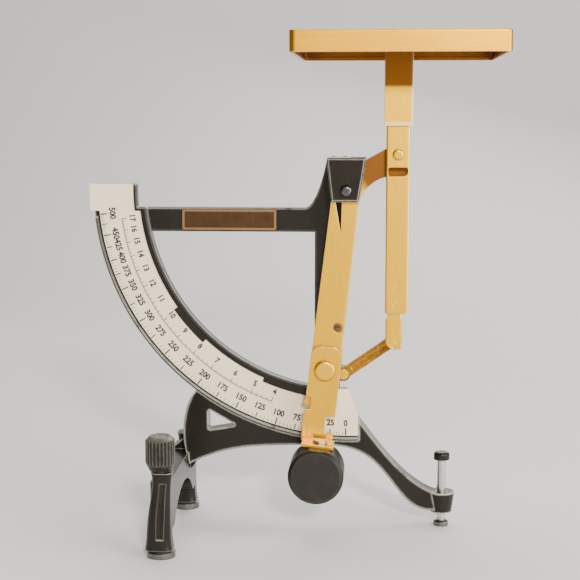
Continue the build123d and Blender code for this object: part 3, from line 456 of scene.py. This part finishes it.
def name_plate_bronze():
    """Darkened bronze, brighter on the border, which stands proud of the field."""
    finish = Finish("name_bronze", BRONZE, 0.42, 1.0)
    finish.round_edges(0.15 * MM)
    finish.tint(finish.between(finish.noise(300, 4), 0.40, 0.75), BRONZE_CLOUD, 0.7, 0.55)
    split = finish.add("ShaderNodeSeparateXYZ")
    finish.join(finish.place, split.inputs[0])
    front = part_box("name_plate")[0].y
    raised = finish.between(split.outputs["Y"], front + 0.05 * MM, front + 0.25 * MM, 1.0, 0.0)
    finish.tint(raised, BRONZE_RAISED, 0.85, 0.34)
    finish.bump(finish.noise(1500, 2), 0.18, 0.1 * MM)
    return finish.done()


def bob_black():
    """Matt black lacquer over fine turning rings, with a painted highlight along its edges."""
    finish = Finish("bob_black", BOB, 0.44)
    finish.shader.inputs["Specular IOR Level"].default_value = 0.30
    finish.round_edges(0.4 * MM)
    centred = finish.add("ShaderNodeMapping")
    centred.inputs["Location"].default_value = -centre_of("weight_bob")
    finish.join(finish.place, centred.inputs["Vector"])
    rings = finish.add("ShaderNodeTexWave", wave_type="RINGS", rings_direction="Y")
    rings.inputs["Scale"].default_value = 420
    rings.inputs["Distortion"].default_value = 0.6
    finish.join(centred.outputs["Vector"], rings.inputs["Vector"])
    finish.tint(finish.between(finish.noise(110, 4), 0.45, 0.8), BOB_CLOUD, 0.7, 0.52)
    # Painted highlight along the bob's edges, broken up by noise
    glinting = finish.times(finish.edges(0.6 * MM), finish.between(finish.noise(340, 3), 0.35, 0.6))
    finish.tint(glinting, BOB_EDGE_HIGHLIGHT, 0.7, 0.35)
    finish.bump(rings.outputs["Fac"], 0.10, 0.05 * MM)
    finish.bump(finish.noise(900, 2), 0.12, 0.1 * MM)
    return finish.done()


def steel(name, color, roughness, edge=STEEL_EDGE):
    """Turned steel, stained in patches, with bright edges, and darker in its corners."""
    finish = Finish(name, color, roughness, 1.0)
    finish.round_edges(0.2 * MM)
    stain = tuple(c * 0.45 for c in color)
    finish.tint(finish.between(finish.noise(500, 4), 0.45, 0.8), stain, 0.6, roughness + 0.2)
    finish.tint(finish.edges(0.3 * MM), edge, 0.7, 0.2)
    finish.tint(finish.crevices(1.5 * MM), STEEL_CORNER_DARK, 0.7, 0.6)
    return finish.done()


def dress():
    """Gives each CAD node its material."""
    # Every black finish gets a painted edge highlight; on the quadrant frame it is strongest on edges that
    # face up, towards the top lamp
    casting = enamel("black_enamel", edge_light=0.85, reach=1.2 * MM, facing=UP, elsewhere=0.22)
    outlined = enamel("stand_enamel", edge_light=0.95, reach=1.6 * MM)
    column = enamel("yoke_enamel", edge_light=0.55, reach=0.8 * MM, facing=UP)
    upright = brass("brass_upright", extra=pale_upright)
    tilted = brass("brass_lever", turn=LEVER_TILT, extra=shaded_lever)
    arm = brass("brass_arm", turn=LEVER_TILT)
    link = brass("brass_link_shaded", SHADED_LINK_BRASS, GRAIN_EVEN, bright=0.4)
    tray = brass("gold_tray", TRAY_GOLD, GRAIN_SIDEWAYS, extra=shaded_hollow)
    socket = brass("gold_socket", extra=shaded_socket)
    turned = brass("brass_turned", TURNED_BRASS, GRAIN_TURNED, roughness=0.28, bright=0.25)
    bright = steel("steel_bright", STEEL_BRIGHT, 0.22)
    dark = steel("steel_dark", STEEL_DARK, 0.34)
    bronzed = steel("steel_bronzed", STEEL_BRONZED, 0.30, BRONZED_EDGE)
    pivot = steel("steel_pivot", STEEL_PIVOT, 0.14)
    knob = enamel("knob_enamel", roughness=0.18, edge_light=0.22, reach=0.6 * MM, extra=polished_crown)
    cap = enamel("cap_enamel", roughness=0.18, edge_light=0.4, reach=0.5 * MM)
    finishes = {
        casting: ("quadrant_frame",),
        outlined: ("stand",),
        column: ("left_foot_yoke",),
        cream(): ("dial_plate",),
        name_plate_bronze(): ("name_plate",),
        cover_black(): ("bearing_cover",),
        tilted: ("pendulum_lever",),
        arm: ("weight_arm",),
        upright: ("load_rod", "rod_tail"),
        link: ("lower_link",),
        tray: ("platform_tray",),
        socket: ("platform_socket", "socket_rivets"),
        turned: (
            "dial_studs", "name_plate_studs", "link_pivot_pin", "load_pin", "flip_screw", "flip_nut",
            "friction_washer", "tail_rivets", "tail_pin"),
        bright: ("bob_screw", "tail_clip", "pivot_axle", "right_levelling_screw"),
        bronzed: ("trim_screw",),
        pivot: ("front_pivot_screw",),
        dark: (
            "rear_pivot_screw", "pivot_locknut", "cover_screws", "stand_screws", "yoke_screws",
            "rear_foot_pad", "front_foot_pad", "levelling_stem", "right_foot_pad"),
        bob_black(): ("weight_bob",),
        knob: ("levelling_knob",),
        cap: ("right_screw_cap",),
    }
    for material, names in finishes.items():
        for name in names:
            mesh = nodes[name].data
            mesh.materials.clear()
            mesh.materials.append(material)


# The dial's print: grams on the outer band, ounces on the inner band
PRINT_THICKNESS = 0.03 * MM
OUTER_EDGE = 113.3 * MM
OUTER_NUMERALS = 107.7 * MM
OUTER_NUMERAL_HEIGHT = 3.1 * MM
DIVIDER = 103.7 * MM
DIVIDER_WIDTH = 0.55 * MM
INNER_NUMERALS = 98.9 * MM
INNER_NUMERAL_HEIGHT = 2.9 * MM
NUMERAL_SLIMNESS = 0.92
NUMERAL_WEIGHT = 0.045
NUMERAL_HALF_DEPTH = 0.01
STEPS_PER_NUMBER = 5
FIRST_OUNCE = 4
LAST_OUNCE = 17

# The length and width of a stroke, by how many steps or quarter ounces it comes again
GRAM_STROKES = {1: (1.5 * MM, 0.26 * MM), 5: (2.5 * MM, 0.60 * MM), 10: (3.2 * MM, 0.70 * MM)}
OUNCE_STROKES = {1: (1.2 * MM, 0.24 * MM), 4: (1.9 * MM, 0.42 * MM)}


def piece_from(name, shape, material, body):
    """Turns a shape under construction into a named piece that rides with a body."""
    mesh = bpy.data.meshes.new(name)
    shape.to_mesh(mesh)
    shape.free()
    piece = bpy.data.objects.new(name, mesh)
    bpy.context.scene.collection.objects.link(piece)
    mesh.materials.append(material)
    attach(piece, body)


def add_prism(shape, corners, thickness):
    """A thin closed slab over a flat outline that faces forwards."""
    lift = Vector((0, -thickness, 0))
    back = [shape.verts.new(c) for c in corners]
    front = [shape.verts.new(c + lift) for c in corners]
    shape.faces.new(front)
    shape.faces.new(list(reversed(back)))
    count = len(corners)
    for i in range(count):
        j = (i + 1) % count
        shape.faces.new((back[i], back[j], front[j], front[i]))


def add_stroke(shape, inner, outer, angle, width):
    """A radial stroke of even width, slightly narrowed at its inner end."""
    middle = polar(1.0, angle) - PIVOT
    along = Vector((middle.x, 0, middle.z)).normalized()
    across = Vector((-along.z, 0, along.x))
    hub = Vector((PIVOT.x, DIAL_FRONT, PIVOT.z))
    half = width / 2
    narrow = half * 0.8
    corners = [
        hub + along * inner - across * narrow,
        hub + along * inner + across * narrow,
        hub + along * outer + across * half,
        hub + along * outer - across * half,
    ]
    add_prism(shape, corners, PRINT_THICKNESS)


def add_band(shape, radius, width, start, end, steps=48):
    """A thin curved line about the pivot, lower than the strokes that stand on it."""
    inner = radius - width / 2
    outer = radius + width / 2
    for i in range(steps):
        first = start + (end - start) * i / steps
        second = start + (end - start) * (i + 1) / steps
        corners = [polar(inner, first), polar(inner, second), polar(outer, second), polar(outer, first)]
        add_prism(shape, corners, PRINT_THICKNESS * 0.8)


def numeral_mesh(text):
    """A number as a thin solid that lies flat, centred and one unit tall."""
    curve = bpy.data.curves.new("numeral", "FONT")
    curve.body = text
    curve.align_x = "CENTER"
    curve.align_y = "CENTER"
    curve.offset = NUMERAL_WEIGHT
    curve.extrude = NUMERAL_HALF_DEPTH
    curve.resolution_u = 3
    holder = bpy.data.objects.new("numeral", curve)
    bpy.context.scene.collection.objects.link(holder)
    bpy.context.view_layer.update()
    mesh = bpy.data.meshes.new_from_object(holder.evaluated_get(bpy.context.evaluated_depsgraph_get()))
    bpy.data.objects.remove(holder)
    bpy.data.curves.remove(curve)
    heights = [v.co.y for v in mesh.vertices]
    tall = max(heights) - min(heights)
    middle = (max(heights) + min(heights)) / 2
    mesh.transform(Matrix.Translation((0, -middle, 0)))
    mesh.transform(Matrix.Scale(1 / tall, 4))
    return mesh


def add_numeral(shape, text, radius, angle, height):
    """A number on the dial, with its feet towards the dial's outer edge."""
    mesh = numeral_mesh(text)
    stand_up = Matrix(((1, 0, 0, 0), (0, 0, -1, 0), (0, 1, 0, 0), (0, 0, 0, 1)))
    depth = PRINT_THICKNESS / (2 * NUMERAL_HALF_DEPTH)
    shrink = Matrix.Diagonal((height * NUMERAL_SLIMNESS, height, depth, 1))
    place = Matrix.Translation(polar(radius, angle)) @ Matrix.Rotation(angle, 4, "Y") @ stand_up @ shrink
    mesh.transform(place)
    shape.from_mesh(mesh)
    bpy.data.meshes.remove(mesh)


def stroke_for(step, strokes):
    """The length and width of the rarest kind of stroke that falls on a step."""
    return strokes[max(every for every in strokes if step % every == 0)]


def gram_marks():
    """The outer row's marks: a load in grams, its stroke, and its number if it has one."""
    for step in range(FULL_LOAD // GRAMS_PER_STEP + 1):
        load = step * GRAMS_PER_STEP
        numbered = step % STEPS_PER_NUMBER == 0 and load != CROWDED_LOAD
        yield load, stroke_for(step, GRAM_STROKES), str(load) if numbered else ""


def ounce_marks():
    """The inner row's marks, one for each quarter of an ounce, with numbers on the whole ounces."""
    for quarter in range(4 * FIRST_OUNCE, 4 * LAST_OUNCE + 1):
        ounces, rest = divmod(quarter, 4)
        yield quarter / 4 * OUNCE, stroke_for(quarter, OUNCE_STROKES), "" if rest else str(ounces)


def print_row(name, material, marks, edge, radius, height):
    """Strokes that end on one edge, and numbers whose middles lie on one radius."""
    strokes = bmesh.new()
    numerals = bmesh.new()
    for load, (length, width), number in marks:
        swing = swing_for(load)
        add_stroke(strokes, edge - length, edge, swing, width)
        if number:
            add_numeral(numerals, number, radius, swing, height)
    piece_from(f"dial_{name}_ticks", strokes, material, "base")
    piece_from(f"dial_{name}_numbers", numerals, material, "base")


def print_dial():
    black = ink("dial_ink", BLACK_INK)
    print_row("outer", black, gram_marks(), OUTER_EDGE, OUTER_NUMERALS, OUTER_NUMERAL_HEIGHT)
    print_row("inner", black, ounce_marks(), DIVIDER, INNER_NUMERALS, INNER_NUMERAL_HEIGHT)
    line = bmesh.new()
    add_band(line, DIVIDER, DIVIDER_WIDTH, swing_for(FIRST_OUNCE * OUNCE), swing_for(LAST_OUNCE * OUNCE))
    # The divider is printed brown as painted shadow along the inner band's edge
    piece_from("dial_divider", line, ink("dial_divider_shade_ink", DIVIDER_SHADE_INK), "base")


# Stage, light and camera, in metres
EYE = Vector((42.1, -589, 189)) * MM
FRAME_FILL = 1.16
SENSOR_WIDTH = 36.0
FLOOR_HALF_WIDTH = 3.0
FLOOR_NEAR = -2.0
FLOOR_FAR = 1.3
BACKDROP_HEIGHT = 2.2
BACKDROP_CURVE = 0.6
CURVE_STEPS = 12
STAGE_PALE = (0.80, 0.79, 0.775)
STAGE_CLOUD = (0.77, 0.76, 0.745)
LIGHT_AIM = (0, 0, 0.11)
PLATFORM_SIDE_AIM = (0.05, 0, 0.15)


def stage_material():
    finish = Finish("stage_pale", STAGE_PALE, 0.75)
    finish.tint(finish.between(finish.noise(3, 3), 0.4, 0.7), STAGE_CLOUD, 0.5)
    return finish.done()


def build_stage():
    """A floor that curves up into a backdrop."""
    bend = FLOOR_FAR - BACKDROP_CURVE
    profile = [(FLOOR_NEAR, 0.0), (bend, 0.0)]
    for i in range(1, CURVE_STEPS + 1):
        turn = math.pi / 2 * i / CURVE_STEPS
        profile.append((
            bend + BACKDROP_CURVE * math.sin(turn),
            BACKDROP_CURVE - BACKDROP_CURVE * math.cos(turn)))
    profile.append((FLOOR_FAR, BACKDROP_HEIGHT))
    shape = bmesh.new()
    left, right = (
        [shape.verts.new((x, y, z)) for y, z in profile] for x in (-FLOOR_HALF_WIDTH, FLOOR_HALF_WIDTH))
    for i in range(len(profile) - 1):
        face = shape.faces.new((left[i], right[i], right[i + 1], left[i + 1]))
        face.smooth = True
    mesh = bpy.data.meshes.new("stage_floor")
    shape.to_mesh(mesh)
    shape.free()
    floor = bpy.data.objects.new("stage_floor", mesh)
    bpy.context.scene.collection.objects.link(floor)
    mesh.materials.append(stage_material())


def add_light(name, place, aim, size, power, color=(1, 1, 1)):
    """A rectangular lamp that looks at a point."""
    lamp = bpy.data.lights.new(name, "AREA")
    lamp.shape = "RECTANGLE"
    lamp.size, lamp.size_y = size
    lamp.energy = power
    lamp.color = color
    holder = bpy.data.objects.new(name, lamp)
    bpy.context.scene.collection.objects.link(holder)
    holder.location = place
    holder.rotation_euler = (Vector(aim) - Vector(place)).to_track_quat("-Z", "Y").to_euler()


def light():
    """Soft studio light: a warm key lamp near the eye, and large lamps around the scale."""
    world = bpy.data.worlds.new("studio")
    bpy.context.scene.world = world
    world.use_nodes = True
    sky = world.node_tree.nodes["Background"]
    sky.inputs["Color"].default_value = (0.93, 0.95, 1.0, 1)
    sky.inputs["Strength"].default_value = 0.16
    add_light("key", (0.35, -1.45, 0.70), PLATFORM_SIDE_AIM, (0.16, 0.16), 25, (1.0, 0.94, 0.84))
    add_light("front", (0.0, -1.30, 0.36), LIGHT_AIM, (1.3, 0.66), 2.2, (1.0, 0.94, 0.86))
    add_light("right", (0.85, -0.45, 0.30), LIGHT_AIM, (0.9, 0.8), 15, (1.0, 0.96, 0.90))
    add_light("top", (0.0, 0.25, 1.3), LIGHT_AIM, (1.0, 0.7), 11)
    add_light("rim", (0.3, 0.95, 0.55), LIGHT_AIM, (0.8, 0.4), 4)


def place_camera():
    """Puts the eye where the photograph's was, with the scale filling the picture's height."""
    middle = (cad_low + cad_high) / 2
    data = bpy.data.cameras.new("camera")
    camera = bpy.data.objects.new("camera", data)
    bpy.context.scene.collection.objects.link(camera)
    camera.location = EYE
    camera.rotation_euler = (middle - EYE).to_track_quat("-Z", "Y").to_euler()
    distance = (middle - EYE).length
    tall = cad_high.z - cad_low.z
    data.sensor_width = SENSOR_WIDTH
    data.lens = SENSOR_WIDTH * distance / (tall * FRAME_FILL)
    data.clip_start = 0.01
    data.clip_end = 20
    bpy.context.scene.camera = camera


place_camera()
dress()
print_dial()
build_stage()
light()
